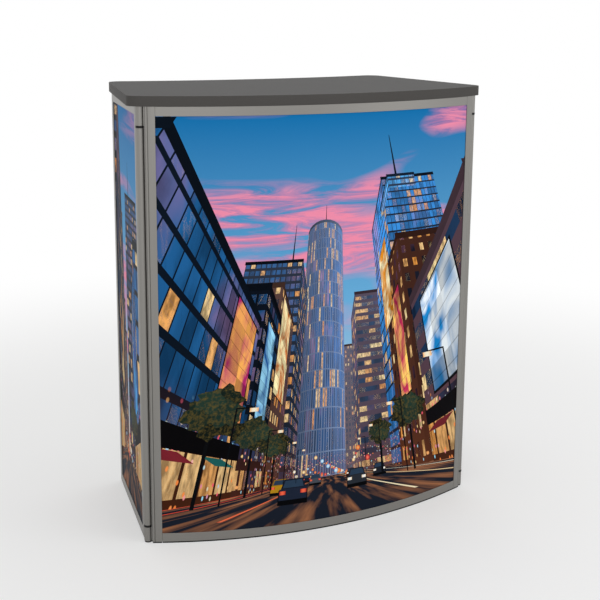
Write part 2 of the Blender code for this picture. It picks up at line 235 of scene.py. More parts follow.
postMetal = satinAnodised("satinAnodisedPost", "upright")
arcMetal = satinAnodised("satinAnodisedArc", "arc")
sideMetal = {
    "left": satinAnodised("satinAnodisedSideLeft", "side", -plan["splay"]),
    "right": satinAnodised("satinAnodisedSideRight", "side", plan["splay"]),
}
# grey and sandy
castAluminium = grained("dieCastAluminium", "#b4b3b0", (0.45, 0.6), 0.0006, 0.00002, 0.9)
# fine rings left by the wheel
groundSteel = grained("groundSteel", "#b9b8b5", (0.2, 0.34), 0.0003, 0.000004, 1.0, turned=True)
# near mirror, a little warm
nickel = grained("nickelPlate", "#cfccc4", (0.12, 0.2), 0.001, 0.000002, 1.0, spread=0.02)
# a dull glint on black
blackNylon = grained("blackNylon", "#0a0a0b", (0.42, 0.55), 0.0004, 0.00002, spread=0.15, gloss=0.25)
# matt and sooty rubber, whose black also stands in for the dark shadow line under the rails, so it is partly
# painted shadow
blackRubber = grained("blackRubber", "#080808", (0.7, 0.85), 0.0006, 0.00003, spread=0.2, gloss=0.1)
# white matt board
foamBoard = grained("foamedBoard", "#e6e6e2", (0.5, 0.6), 0.0009, 0.00001, spread=0.015)
# dull grey sheet under the countertop
backingSheet = grained("backingSheet", "#8f8d88", (0.5, 0.6), 0.0015, 0.00001, spread=0.05)

laminate = {
    "colour": "#4a4948",
    "fleck": "#454443",
    "fleckSize": 0.0008,
    "fleckEdge": levels(0.42, 0.62),
    "clouds": {"Scale": 14.0, "Detail": 3.0},
    "cloudTones": levels(start=0.97, end=1.03),
    "pebble": 0.0006,          # stipple pressed into the sheet
    "pebbleDepth": 0.00001,
    "roughness": (0.56, 0.68),
    "gloss": 0.11,
}


def pressedLaminate(name, settings):
    # high pressure laminate: an even dark grey, fine flecks, and a matt sheen broken by a pressed stipple
    material, add, shader = newMaterial(name, settings["colour"])
    shader.inputs["Specular IOR Level"].default_value = settings["gloss"]
    here = add("TexCoord", out=3)
    flecks = add("TexNoise", {"Vector": here, "Scale": 1 / settings["fleckSize"], "Detail": 5.0})
    cloud = add("TexNoise", {"Vector": here, **settings["clouds"]})
    spotted = add("MapRange", {"Value": flecks, **settings["fleckEdge"]})
    tint = add("Mix", {0: spotted, 6: linear(settings["colour"]), 7: linear(settings["fleck"])})
    whole = toned(add, tint, cloud, settings["cloudTones"])
    feed(whole, shader, "Base Color")
    stipple = add("TexVoronoi", {"Vector": here, "Scale": 1 / settings["pebble"]})
    surface(add, shader, stipple, settings["pebbleDepth"], settings["roughness"])
    return material


topLaminate = pressedLaminate("pressedLaminate", laminate)
edgeStrip = pressedLaminate("edgingStrip", dict(laminate, colour="#504e4c", fleck="#4b4947", gloss=0.08))
print("finishes made")


# Solid pieces: merged copies of the solids with eased edges and smooth rounds

def pieceName(node):
    words = node.split("_")
    return words[0] + "".join(word.capitalize() for word in words[1:])


edgeRules = {
    "merge": 0.000005,
    "flat": math.radians(0.3),      # faces closer than this to one plane are joined
    "facingDown": -0.9,
    "upright": 0.5,
    "smooth": math.radians(32),
    "eased": math.radians(40),      # edges sharper than this are eased
    "segments": 2,
}


def dressed(node, material, easing, under=None, grow=0.0):
    # under is the finish of faces that look down, and grow moves the upright faces out
    mesh = bpy.data.meshes.new(pieceName(node))
    shape = bmesh.new()
    shape.from_mesh(nodes[node].data)
    bmesh.ops.remove_doubles(shape, verts=shape.verts, dist=edgeRules["merge"])
    bmesh.ops.dissolve_limit(shape, angle_limit=edgeRules["flat"], verts=shape.verts, edges=shape.edges)
    for face in shape.faces:
        face.smooth = True
        face.material_index = 1 if under and face.normal.z < edgeRules["facingDown"] else 0
    if grow:
        moves = []
        for vert in shape.verts:
            upright = [face.normal for face in vert.link_faces if abs(face.normal.z) < edgeRules["upright"]]
            moves.append(sum(upright, Vector()).normalized())
        for vert, move in zip(shape.verts, moves):
            vert.co += grow * move
    shape.to_mesh(mesh)
    shape.free()
    mesh.materials.append(material)
    if under:
        mesh.materials.append(under)
    mesh.set_sharp_from_angle(angle=edgeRules["smooth"])
    piece = addObject(mesh.name, mesh)
    if easing:
        bevel = piece.modifiers.new("easedEdges", "BEVEL")
        bevel.width = easing
        bevel.segments = edgeRules["segments"]
        bevel.limit_method = "ANGLE"
        bevel.angle_limit = edgeRules["eased"]
        bevel.harden_normals = True
    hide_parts(node)
    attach(piece, bodyOf[node])
    return piece


easing = {"post": 0.0005, "rail": 0.0004, "moulded": 0.0003, "turned": 0.0002, "none": 0.0}
boardGrowth = 0.00025     # closes the seam between the board and its edging
finishes = {
    "anodised_profile": (postMetal, "post"),
    "printed_board": (foamBoard, "none"),
    # the foot strips' black is partly painted shadow: it gives the dark line under the rails
    "foot_strip": (blackRubber, "moulded"),
    "cast_block": (castAluminium, "moulded"),
    "black_plastic": (blackNylon, "moulded"),
    "steel": (groundSteel, "none"),
    "magnet": (nickel, "none"),
    "edging": (edgeStrip, "none"),
}
exceptions = {
    "bush": (blackNylon, "turned"),
    "socket": (blackNylon, "none"),
    "strike": (groundSteel, "turned"),
    "front_rail": (arcMetal, "rail"),
    "left_rail": (sideMetal["left"], "rail"),
    "right_rail": (sideMetal["right"], "rail"),
}
for node, slot in slotOf.items():
    if slot == "laminate":
        dressed(node, topLaminate, easing["none"], under=backingSheet, grow=boardGrowth)
        continue
    material, edge = next((look for word, look in exceptions.items() if word in node), finishes.get(slot))
    dressed(node, material, easing[edge])
print("solids dressed")


# Screws that hold the corner blocks: two through each rail, and one through each rear post

screw = {
    "Head Radius": 0.0029,
    "Head Height": 0.0004,       # flat heads, so that the folded frames clear each other
    "Socket Radius": 0.0014,
    "Seed": 4,
}
screwPlan = {"fromMiddle": 0.008, "postDepth": 0.0076, "sunk": 0.00005}
# the collar and the socket's depth are shares of the head's height
screwShape = {"sides": 24, "collar": 0.5, "crown": 0.88, "socketSides": 6, "socketDepth": 1.6}


def screwTree(material):
    # a flat socket screw on every point, square to its face and left at any angle by whoever tightened it
    tree = bpy.data.node_groups.new("socketScrews", "GeometryNodeTree")
    tree.interface.new_socket("Geometry", in_out="INPUT", socket_type="NodeSocketGeometry")
    for name, value in screw.items():
        kind = "NodeSocketInt" if name == "Seed" else "NodeSocketFloat"
        tree.interface.new_socket(name, in_out="INPUT", socket_type=kind)
    tree.interface.new_socket("Geometry", in_out="OUTPUT", socket_type="NodeSocketGeometry")
    add = partial(addNode, tree)
    given = tree.nodes.new("NodeGroupInput").outputs
    radius, height, socket = (given[name] for name in ("Head Radius", "Head Height", "Socket Radius"))
    disc = add("GeometryNodeMeshCylinder", {
        "Vertices": screwShape["sides"], "Radius": radius, "Depth": height})
    up = add("CombineXYZ", {2: height})
    raised = add("GeometryNodeExtrudeMesh", {
        "Mesh": disc, "Selection": disc.node.outputs["Top"], "Offset": up,
        "Offset Scale": screwShape["collar"]})
    eased = add("GeometryNodeScaleElements", {
        "Geometry": raised, "Selection": raised.node.outputs["Top"], "Scale": screwShape["crown"]})
    depth = add("Math", {0: height, 1: screwShape["socketDepth"]}, operation="MULTIPLY")
    key = add("GeometryNodeMeshCylinder", {
        "Vertices": screwShape["socketSides"], "Radius": socket, "Depth": depth})
    lifted = add("GeometryNodeTransform", {"Geometry": key, "Translation": up})
    head = add("GeometryNodeMeshBoolean", {0: eased, 1: lifted}, operation="DIFFERENCE", solver="EXACT")
    facing = add("GeometryNodeInputNamedAttribute", {"Name": "facing"}, data_type="FLOAT_VECTOR")
    aligned = add("FunctionNodeAlignRotationToVector", {"Vector": facing}, axis="Z")
    angle = add("FunctionNodeRandomValue", {2: 0.0, 3: math.tau, 8: given["Seed"]}, out=1, data_type="FLOAT")
    spin = add("FunctionNodeAxisAngleToRotation", {"Axis": (0, 0, 1), "Angle": angle})
    turned = add("FunctionNodeRotateRotation", {0: aligned, 1: spin}, rotation_space="LOCAL")
    placed = add("GeometryNodeInstanceOnPoints", {
        "Points": given["Geometry"], "Instance": head, "Rotation": turned})
    real = add("GeometryNodeRealizeInstances", {"Geometry": placed})
    finished = add("GeometryNodeSetMaterial", {"Geometry": real, "Material": material})
    tree.links.new(finished, tree.nodes.new("NodeGroupOutput").inputs[0])
    return tree


def middle(node):
    low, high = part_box(node)
    return (Vector(low) + Vector(high)) / 2


def sideAxes(hand):
    along = Vector((-hand * math.sin(plan["splay"]), math.cos(plan["splay"]), 0))
    return along, Vector((along.y, -along.x, 0)) * hand


def screwSites(side, hand):
    # places and directions of the screws on the front frame's block pairs and on one side frame
    front, swinging = [], []
    along, outward = sideAxes(hand)
    for level in ("top", "bottom"):
        block = middle(f"front_block_{level}_{side}") - arcCentre
        bearing = math.atan2(block.x, -block.y)
        for step in (-1, 1):
            angle = bearing + step * screwPlan["fromMiddle"] / plan["radius"]
            normal = Vector((-math.sin(angle), math.cos(angle), 0))
            spot = arcCentre - (plan["radius"] - plan["frameDepth"]) * normal
            front.append((Vector((spot.x, spot.y, block.z)), normal))
            for end in ("front", "rear"):
                spot = middle(f"{side}_block_{level}_{end}") + step * screwPlan["fromMiddle"] * along
                swinging.append((spot - plan["frameDepth"] / 2 * outward, -outward))
        reach = plan["sideStart"] + plan["sideOpening"] + plan["postWidth"]
        inward = plan["sideFace"] - screwPlan["postDepth"]
        edge = hingePlace[f"{side}_side"] + reach * along + inward * outward
        swinging.append((Vector((edge.x, edge.y, block.z)), along))
    return front, swinging


def addScrews(name, body, sites):
    mesh = bpy.data.meshes.new(name)
    mesh.from_pydata([spot - screwPlan["sunk"] * facing for spot, facing in sites], [], [])
    facings = [value for _, facing in sites for value in facing]
    mesh.attributes.new("facing", "FLOAT_VECTOR", "POINT").data.foreach_set("vector", facings)
    piece = addObject(name, mesh)
    modifier = piece.modifiers.new("screws", "NODES")
    modifier.node_group = screws
    for item in screws.interface.items_tree:
        if item.in_out == "INPUT" and item.name in screw:
            modifier[item.identifier] = screw[item.name]
    evaluated = piece.evaluated_get(bpy.context.evaluated_depsgraph_get())
    made = bpy.data.meshes.new_from_object(evaluated)
    piece.modifiers.clear()
    piece.data = made
    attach(piece, body)
    return piece


screws = screwTree(groundSteel)
frontSites = []
for side, hand in (("left", -1), ("right", 1)):
    onFrame, onSide = screwSites(side, hand)
    frontSites += onFrame
    addScrews(f"{side}SideScrews", f"{side}_side", onSide)
addScrews("frontFrameScrews", "front_frame", frontSites)
print("screws placed")


# Printed boards. The picture is a made-up street of plain blocks at dusk, set out in street metres
# and drawn on the sheet by a small camera that looks up the street.

street = {
    "eye": 1.6,                    # height of the picture's camera
    "tilt": math.radians(31),      # looking up
    "focal": 0.60,                 # in metres on the sheet
    "near": 1.5,                   # where the road starts, and how far and wide it goes
    "far": 400,
    "halfWidth": 90,
}
acrossStreet, upStreet, skyward = Vector((1, 0, 0)), Vector((0, 1, 0)), Vector((0, 0, 1))


def throughLens(vector):
    # a street direction as sheet x, sheet y and depth, each before the division by depth
    x, y, z = vector
    sine, cosine = math.sin(street["tilt"]), math.cos(street["tilt"])
    return Vector((street["focal"] * x, street["focal"] * (z * cosine - y * sine), y * cosine + z * sine))


def drawShape(sheet, ink, corner, across, rise, outline, wall="#000000", pane="#000000",
              bay=(1, 1, 1), lit=(0, 0, 1)):
    # a flat outline on a plane of the street, whose two directions are given in street metres
    eye = Vector((0, 0, street["eye"]))
    lens = Matrix((throughLens(across), throughLens(rise), throughLens(Vector(corner) - eye))).transposed()
    points = []
    for along, up in outline:
        drawn = lens @ Vector((along, up, 1))
        points.append((sheet["middle"][0] + drawn.x / drawn.z, sheet["middle"][1] + drawn.y / drawn.z))
    sheet["shapes"].append({
        "ink": ink, "points": points, "unmap": lens.inverted(), "wall": linear(wall)[:3],
        "pane": linear(pane)[:3], "bay": bay, "lit": lit})


def standing(sheet, ink, place, outline, *colours, **options):
    # an outline that stands across the street and faces the camera
    drawShape(sheet, ink, place, acrossStreet, skyward, outline, *colours, **options)


def rectangle(a0, a1, b0, b1):
    return [(a0, b0), (a1, b0), (a1, b1), (a0, b1)]


square = rectangle(-1, 1, -1, 1)


def shaded(code, factor):
    channels = [min(255, round(int(code[i:i + 2], 16) * factor)) for i in (1, 3, 5)]
    return "#%02x%02x%02x" % tuple(channels)


facades = {   # bay is its width, its storey and the share open across; lit is a share, and so is tall
    "curtain": {"wall": "#0e1a29", "pane": "#2a78bd", "bay": (1.5, 3.7, 0.90), "lit": 0.10, "tall": 0.80},
    "slab": {"wall": "#1b2b42", "pane": "#4695d2", "bay": (1.9, 3.5, 0.90), "lit": 0.14, "tall": 0.66},
    "banded": {"wall": "#4e3a44", "pane": "#1b3350", "bay": (3.1, 3.6, 1.01), "lit": 0.30, "tall": 0.52},
    "stone": {"wall": "#593d33", "pane": "#1b1d2a", "bay": (2.4, 3.8, 0.46), "lit": 0.26, "tall": 0.56},
    "brick": {"wall": "#43261d", "pane": "#171a28", "bay": (2.2, 3.4, 0.42), "lit": 0.34, "tall": 0.55},
    "dark": {"wall": "#0b121d", "pane": "#1d4a78", "bay": (2.0, 3.6, 0.78), "lit": 0.20, "tall": 0.62},
    "finned": {"wall": "#6d7f9f", "pane": "#174f88", "bay": (1.2, 9.0, 0.60), "lit": 0.16, "tall": 0.94},
    "shop": {"wall": "#0f0d10", "pane": "#c9742e", "bay": (3.6, 4.6, 0.86), "lit": 0.92, "tall": 0.72},
}
building = {
    "cornice": 1.4,            # dark band under each roof
    "overhang": 0.4,
    "capping": 0.3,
    "corniceShade": 0.72,
    "leftLight": 0.86,         # of walls along the street
    "rightLight": 1.12,
    "gableSeed": 7,            # so that two walls of one building light other windows
}


def face(sheet, style, corner, across, width, height, seed, light, base=0.0, cornice=building["cornice"]):
    look = facades[style]
    out, top = building["overhang"], height + building["capping"]
    drawShape(sheet, "facade", corner, across, skyward, rectangle(0, width, base, height),
              shaded(look["wall"], light), shaded(look["pane"], light), look["bay"],
              (look["lit"], seed, look["tall"]))
    drawShape(sheet, "plain", corner, across, skyward, rectangle(-out, width + out, height - cornice, top),
              shaded(look["wall"], light * building["corniceShade"]))


def block(sheet, style, x, y, height, seed, base=0.0):
    # x runs from the street out, so the first value is the wall along the street
    inner, outer = x
    near, far = y
    hand = 1 if outer > inner else -1
    light = building["rightLight"] if hand > 0 else building["leftLight"]
    face(sheet, style, (inner, near, 0), upStreet, far - near, height, seed, light, base)
    face(sheet, style, (inner, near, 0), hand * acrossStreet, abs(outer - inner), height,
         seed + building["gableSeed"], 1.0, base)


tower = {"sides": 24, "light": 0.95, "sidelight": 0.32, "cornice": 2.5}


def roundTower(sheet, style, x, y, radius, height, seed):
    half = math.pi / tower["sides"]
    width = 2 * radius * math.sin(half)
    for k in range(tower["sides"]):
        angle = (2 * k + 1) * half
        normal = Vector((math.cos(angle), math.sin(angle), 0))
        if normal.dot(Vector((x, y, 0)) + radius * normal) > 0:
            continue
        across = Vector((-normal.y, normal.x, 0))
        start = Vector((x, y, 0)) + radius * math.cos(half) * normal - across * width / 2
        light = tower["light"] + tower["sidelight"] * normal.x
        face(sheet, style, start, across, width, height, seed + k, light, cornice=tower["cornice"])


screenRim = {"width": 0.3, "colour": "#0b0d12"}


def litScreen(sheet, corner, width, bottom, top, deep, bright, seed):
    # a display without any lettering, on a wall along the street: two colours that run into each other
    rim = screenRim["width"]
    drawShape(sheet, "plain", corner, upStreet, skyward,
              rectangle(-rim, width + rim, bottom - rim, top + rim), screenRim["colour"])
    drawShape(sheet, "screen", corner, upStreet, skyward, rectangle(0, width, bottom, top), deep, bright,
              lit=(0, seed, 1))


def roofMast(sheet, x, y, low, high, width=0.5):
    outline = [(-width, low), (width, low), (width / 4, high), (-width / 4, high)]
    standing(sheet, "plain", (x, y, 0), outline, "#141a24")


planting = {
    "trunk": 0.14,
    "tufts": 5,
    "tuftTurn": 2.4,              # angle from one tuft to the next
    "spread": (0.45, 0.35),       # of the tufts' middles, as shares of the crown
    "size": (0.72, 0.06),         # of the first tuft, and how much less each next one has
    "lobes": ((5, 1, 0.16), (9, 2, 0.12)),
    "flatness": 0.8,
    "corners": 22,
    "bark": "#0c0d10",
    "shade": "#101a16",
    "lighter": 0.3,               # from one tuft to the next
    "lampLight": "#6b5a2c",
}


def streetTree(sheet, x, y, crown, height, seed):
    trunk = planting["trunk"]
    standing(sheet, "plain", (x, y, 0), rectangle(-trunk, trunk, 0, height), planting["bark"])
    wide, high = planting["spread"]
    first, less = planting["size"]
    for k in range(planting["tufts"]):
        turn = planting["tuftTurn"] * k + seed
        outline = []
        for step in range(planting["corners"]):
            angle = math.tau * step / planting["corners"]
            waves = (size * math.sin(count * angle + part * turn) for count, part, size in planting["lobes"])
            far = crown * (first - less * k) * (1 + sum(waves))
            up = high * crown * math.sin(turn) + planting["flatness"] * far * math.sin(angle)
            outline.append((wide * crown * math.cos(turn) + far * math.cos(angle), height + up))
        standing(sheet, "leaf", (x, y, 0), outline, shaded(planting["shade"], 1 + planting["lighter"] * k),
                 planting["lampLight"], lit=(0, turn, 1))


lampPost = {"pole": 0.07, "height": 7.6, "arm": (7.5, 7.62), "lantern": (0.4, 0.18), "lanternHeight": 7.35,
            "paint": "#0a0c10", "glow": ("#ffb45a", "#fff6dd")}


def streetLamp(sheet, x, y, reach):
    pole, paint = lampPost["pole"], lampPost["paint"]
    wide, high = lampPost["lantern"]
    standing(sheet, "plain", (x, y, 0), rectangle(-pole, pole, 0, lampPost["height"]), paint)
    standing(sheet, "plain", (x, y, 0), rectangle(min(0, reach), max(0, reach), *lampPost["arm"]), paint)
    drawShape(sheet, "glow", (x + reach, y, lampPost["lanternHeight"]), wide * acrossStreet, high * skyward,
              square, *lampPost["glow"])


carShape = {   # outlines in metres across and up
    "underside": rectangle(-0.95, 0.95, 0.08, 0.9),
    "body": rectangle(-0.9, 0.9, 0.34, 0.95),
    "cabin": [(-0.8, 0.95), (0.8, 0.95), (0.62, 1.48), (-0.62, 1.48)],
    "window": [(-0.68, 1.0), (0.68, 1.0), (0.54, 1.4), (-0.54, 1.4)],
    "lampPlace": (0.68, 0.74),
    "lampSize": (0.2, 0.1),
    "headlamp": ("#ffe2a8", "#ffffff"),
    "tailLamp": ("#a01612", "#ff6a4a"),
    "tyres": "#07080b",
    "glass": "#2c3f55",
    "cabinShade": 0.8,
}


def car(sheet, x, y, paint, towards):
    # seen from behind with red lamps, or from the front with white ones
    upper = shaded(paint, carShape["cabinShade"])
    parts = {"underside": carShape["tyres"], "body": paint, "cabin": upper, "window": carShape["glass"]}
    for part, colour in parts.items():
        standing(sheet, "plain", (x, y, 0), carShape[part], colour)
    out, up = carShape["lampPlace"]
    wide, high = carShape["lampSize"]
    for hand in (-1, 1):
        drawShape(sheet, "glow", (x + out * hand, y, up), wide * acrossStreet, high * skyward, square,
                  *carShape["headlamp" if towards else "tailLamp"])


awningShape = {"height": 3.9, "reach": 1.5, "drop": 0.9}


def awning(sheet, x, near, far, colour):
    # a sloped cloth over a shop front
    hand = 1 if x < 0 else -1
    slope = Vector((awningShape["reach"] * hand, 0, -awningShape["drop"]))
    drawShape(sheet, "plain", (x, near, awningShape["height"]), upStreet, slope,
              rectangle(0, far - near, 0, 1), colour)


trail = {"near": 9, "far": 150, "height": 0.62, "halfWidth": 0.08}


def lightTrail(sheet, x, edge, core):
    drawShape(sheet, "glow", (x, 0, trail["height"]), trail["halfWidth"] * acrossStreet, upStreet,
              rectangle(-1, 1, trail["near"], trail["far"]), edge, core)


spark = {
    "colours": [("#e8641e", "#ffb066"), ("#f2b45a", "#fff1c8"), ("#c8202c", "#ff7a62"),
                ("#6fb6e8", "#e6f8ff"), ("#f6d9a4", "#ffffff")],
    "corners": 12,
    "steps": (0.618, 0.755, 0.57),    # spread the places, heights and sizes without a pattern
    "lowest": 0.7,
    "rise": 4.0,
    "size": (0.22, 0.3),
}


def farLights(sheet, count, reach, near, far):
    # round lights out of focus, spread over the far end of the street
    turns = [math.tau * k / spark["corners"] for k in range(spark["corners"])]
    ring = [(math.cos(turn), math.sin(turn)) for turn in turns]
    smallest, more = spark["size"]
    for k in range(count):
        aside, up, large = (step * k % 1 for step in spark["steps"])
        height = spark["lowest"] + spark["rise"] * up ** 2
        place = (reach * (2 * aside - 1), far - (far - near) * k / count, height)
        size = smallest + more * large
        colours = spark["colours"][k % len(spark["colours"])]
        drawShape(sheet, "spark", place, size * acrossStreet, size * skyward, ring, *colours)


def groundAndSky(sheet, seed, light=(1, 1, 1), clear=0.0):
    # the sky fills the sheet, with fewer clouds where it is clear, and the street runs to the horizon
    left, right, low, high = sheet["edges"]
    sheet["shapes"].append({
        "ink": "sky", "points": rectangle(left, right, low, high), "unmap": Matrix.Identity(3),
        "wall": light, "pane": (0, 0, 0), "bay": (1, 1, 1), "lit": (clear, seed, 1)})
    side = street["halfWidth"]
    drawShape(sheet, "road", (0, 0, 0), acrossStreet, upStreet,
              rectangle(-side, side, street["near"], street["far"]), "#1b212d", "#b87a52")


print("street helpers ready")

filmEdge = {"low": 0.017, "high": 0.983}   # heights between which the film shows


def drawSheet(halfWidth, middle, rows):
    # a sheet with its street, drawn from the far end towards the camera
    edges = (-halfWidth, halfWidth, filmEdge["low"], filmEdge["high"])
    sheet = {"shapes": [], "edges": edges, "middle": middle}
    for draw, *sizes in rows:
        draw(sheet, *sizes)
    return sheet


frontSheet = drawSheet(0.402, (0.0, 0.50), [
    (groundAndSky, 0.3),
    (block, "dark", (-9, -40), (210, 260), 66, 3),
    (block, "stone", (12, 50), (190, 230), 92, 5),
    (block, "brick", (-14, -44), (150, 180), 76, 9),
    (block, "slab", (17, 46), (140, 170), 84, 12),
    (roofMast, -5, 128, 150, 186),
    (roundTower, "finned", -5, 128, 13, 152, 20),
    (block, "banded", (12, 36), (96, 120), 74, 44),
    (block, "dark", (-12, -34), (74, 96), 76, 31),
    (roofMast, -16, 74, 76, 96, 0.3),
    (block, "stone", (-13, -38), (52, 72), 46, 37),
    (roofMast, 25, 52, 86, 118),
    (block, "curtain", (18, 40), (50, 72), 86, 51),
    (block, "slab", (22, 34), (54, 68), 94, 54, 86),
    (block, "brick", (14, 38), (34, 48), 40, 70),
    (block, "dark", (-12, -40), (38, 50), 34, 61),
    (block, "curtain", (-12, -40), (9, 36), 25, 80, 5),
    (block, "shop", (-12, -40), (9, 36), 5.4, 83),
    (block, "banded", (14, 44), (12, 32), 23, 90, 5),
    (block, "shop", (14, 44), (12, 32), 5.4, 93),
    (litScreen, (-11.8, 26, 0), 8, 8, 22, "#b02a6c", "#ffb35c", 1),
    (litScreen, (-11.8, 40, 0), 6, 10, 27, "#14529c", "#9fe0ff", 2),
    (litScreen, (-12.8, 54, 0), 12, 18, 43, "#c9631a", "#fff0b8", 3),
    (litScreen, (13.9, 17.5, 0), 10.5, 7, 19.5, "#1d86cc", "#f2faff", 4),
    (litScreen, (13.9, 37, 0), 6, 10, 30, "#c22f5a", "#ffd06a", 5),
    (litScreen, (17.8, 54, 0), 10, 34, 62, "#e08a1c", "#fff3c4", 6),
    (awning, -12, 16, 22, "#7d2630"),
    (awning, -12, 26, 31, "#1f5f5c"),
    (awning, 14, 16, 21, "#8a5a1e"),
    (awning, 14, 24, 29, "#70242c"),
    (farLights, 46, 9.0, 48, 130),
    (lightTrail, -7.4, "#8f1d22", "#ff6a4a"),
    (lightTrail, -6.3, "#7a1a20", "#ff5a3c"),
    (lightTrail, -3.2, "#8f2420", "#ff7d52"),
    (lightTrail, 3.1, "#c9a36a", "#fff4d2"),
    (lightTrail, 5.6, "#b98f5c", "#ffe9b8"),
    (lightTrail, 7.6, "#d0b07a", "#fffbe8"),
    (car, -5, 62, "#1c2230", False),
    (car, 4.4, 54, "#3a1d1a", True),
    (car, -2.2, 44, "#4a4f58", False),
    (car, 7, 36, "#20242c", True),
    (car, -5.2, 30, "#b98a1c", False),
    (car, 2.6, 25, "#2b3038", True),
    (car, -2.4, 19, "#20283a", False),
    (streetTree, -9.8, 48, 2.4, 6.6, 1),
    (streetTree, 9.6, 46, 2.3, 6.2, 2),
    (streetTree, -9.8, 34, 2.4, 6.8, 3),
    (streetTree, 10.4, 30, 2.3, 6.4, 4),
    (streetTree, -9.9, 22, 2.5, 7.0, 5),
    *[(streetLamp, 9.4, y, -1.6) for y in (16, 30, 46, 66)],
    *[(streetLamp, -8.8, y, 1.6) for y in (24, 38, 54, 74)],
])
leftSheet = drawSheet(0.166, (-0.02, 0.50), [
    (groundAndSky, 3.3, (1.05, 1.05, 1.05), 0.055),
    (block, "brick", (-5, -40), (96, 120), 62, 105),
    (block, "stone", (-2, -40), (100, 130), 48, 109),
    (block, "dark", (0.5, 26), (62, 90), 92, 121),
    (roofMast, 9, 62, 92, 116),
    (block, "dark", (-5, -40), (44, 66), 56, 113),
    (block, "curtain", (5.5, 40), (22, 44), 26, 125, 5),
    (block, "shop", (5.5, 40), (22, 44), 5.4, 127),
    (block, "dark", (-4.2, -40), (13, 36), 42, 117, 5),
    (block, "shop", (-4.2, -40), (13, 36), 5.4, 118),
    (litScreen, (-4.1, 28, 0), 7, 8, 19, "#c9631a", "#fff0b8", 7),
    (litScreen, (5.4, 26, 0), 11, 7, 17, "#4b35a0", "#4fb4f0", 8),
    (farLights, 18, 4.0, 36, 90),
    (streetTree, 3.8, 34, 2.4, 6.4, 6),
])
rightSheet = drawSheet(0.166, (0.03, 0.50), [
    (groundAndSky, 4.2, (1.25, 1.2, 1.1), 0.05),
    (block, "stone", (-5, -40), (110, 140), 80, 201),
    (block, "dark", (6, 40), (80, 110), 60, 205),
    (block, "banded", (-7, -40), (40, 62), 52, 209),
    (block, "curtain", (8, 40), (26, 50), 34, 213),
    (litScreen, (-6.9, 46, 0), 8, 9, 30, "#b02a6c", "#ffb35c", 9),
    (streetTree, 5.2, 36, 2.6, 7.0, 7),
])
print("streets drawn:", len(frontSheet["shapes"]), "shapes on the front sheet")

filmLook = {"base": "#4080b0", "roughness": 0.42, "gloss": 0.1, "ior": 1.15, "grainSize": 0.0006,
            "grainDepth": 0.000004, "tones": levels(start=0.97, end=1.03)}


def printed(name, paint):
    # ink under a thin satin film: full colours, a soft even sheen and a very fine pebble
    material, add, shader = newMaterial(name, filmLook["base"], filmLook["roughness"])
    shader.inputs["Specular IOR Level"].default_value = filmLook["gloss"]
    shader.inputs["IOR"].default_value = filmLook["ior"]
    here = add("TexCoord", out=3)
    pebble = add("TexNoise", {"Vector": here, "Scale": 1 / filmLook["grainSize"], "Detail": 1.0})
    colour = paint(add, readInk(add))
    inked = toned(add, colour, pebble, filmLook["tones"])
    feed(inked, shader, "Base Color")
    surface(add, shader, pebble, filmLook["grainDepth"])
    return material


def readInk(add):
    # street metres along and up each wall, which stay true in perspective, and that wall's own colours
    written = {key: add("Attribute", out=1, attribute_name=key)
               for key in ("street", "wall", "pane", "bay", "lit")}
    along, up, depth = add("SeparateXYZ", {0: written["street"]}).node.outputs
    ink = {
        "along": add("Math", {0: along, 1: depth}, operation="DIVIDE"),
        "up": add("Math", {0: up, 1: depth}, operation="DIVIDE"),
        "away": add("Math", {0: 1.0, 1: depth}, operation="DIVIDE"),
        "wall": written["wall"],
        "pane": written["pane"],
    }
    for key in ("bay", "lit"):
        ink[key] = add("SeparateXYZ", {0: written[key]}).node.outputs
    ink["spot"] = add("CombineXYZ", {0: ink["along"], 1: ink["up"], 2: ink["lit"][1]})
    return ink


def mottle(add, spot, look):
    # a noise stretched and turned over a place, with its tones spread where the look gives levels
    drawn = add("Mapping", {
        "Vector": spot, "Rotation": (0, 0, math.radians(look.get("turn", 0))), "Scale": look["stretch"]})
    noise = add("TexNoise", {"Vector": drawn, "Scale": 1.0, **look["noise"]})
    return add("MapRange", {"Value": noise, **look["levels"]}) if "levels" in look else noise


def blended(add, ink, look):
    # both colours of a shape, mixed by a noise
    return add("Mix", {0: mottle(add, ink["spot"], look), 6: ink["wall"], 7: ink["pane"]})


skyLook = {
    "heights": levels(-0.36, 0.47),     # from the middle of the sheet
    "blues": [(0.0, "#f2cfae"), (0.15, "#b9d5ea"), (0.48, "#6cb2e0"), (1.0, "#1674b2")],
    "banks": {"turn": -13, "stretch": (1.3, 5.2, 1.0), "noise": {"Detail": 2.0, "Distortion": 0.5}},
    "bankEdge": levels(0.475, 0.56),
    "strands": {
        "turn": -19, "stretch": (5.0, 34.0, 1.0), "levels": levels(0.36, 0.56),
        "noise": {"Detail": 8.0, "Roughness": 0.62, "Distortion": 1.1}},
    "rose": ("#e2689c", "#f792b0"),
}


def paintSky(add, ink):
    # clear evening blue, deeper above, with broad rosy streaks combed by the wind
    base = add("MapRange", {"Value": ink["up"], **skyLook["heights"]})
    blue = add("ValToRGB", {0: base}, stops=skyLook["blues"])
    banks = mottle(add, ink["spot"], skyLook["banks"])
    thinned = add("Math", {0: banks, 1: ink["lit"][0]}, operation="SUBTRACT")
    bank = add("MapRange", {"Value": thinned, **skyLook["bankEdge"]})
    strand = mottle(add, ink["spot"], skyLook["strands"])
    cover = add("Math", {0: bank, 1: strand}, operation="MULTIPLY")
    deep, pale = skyLook["rose"]
    rose = add("Mix", {0: strand, 6: linear(deep), 7: linear(pale)})
    bright = add("VectorMath", {0: blue, 1: ink["wall"]}, operation="MULTIPLY")
    return add("Mix", {0: cover, 6: bright, 7: rose})


roadStreaks = {"stretch": (0.9, 0.05, 1.0), "noise": {"Detail": 4.0}, "levels": levels(0.48, 0.72)}


def paintRoad(add, ink):
    # dark asphalt that carries stretched warm reflections
    return blended(add, ink, roadStreaks)


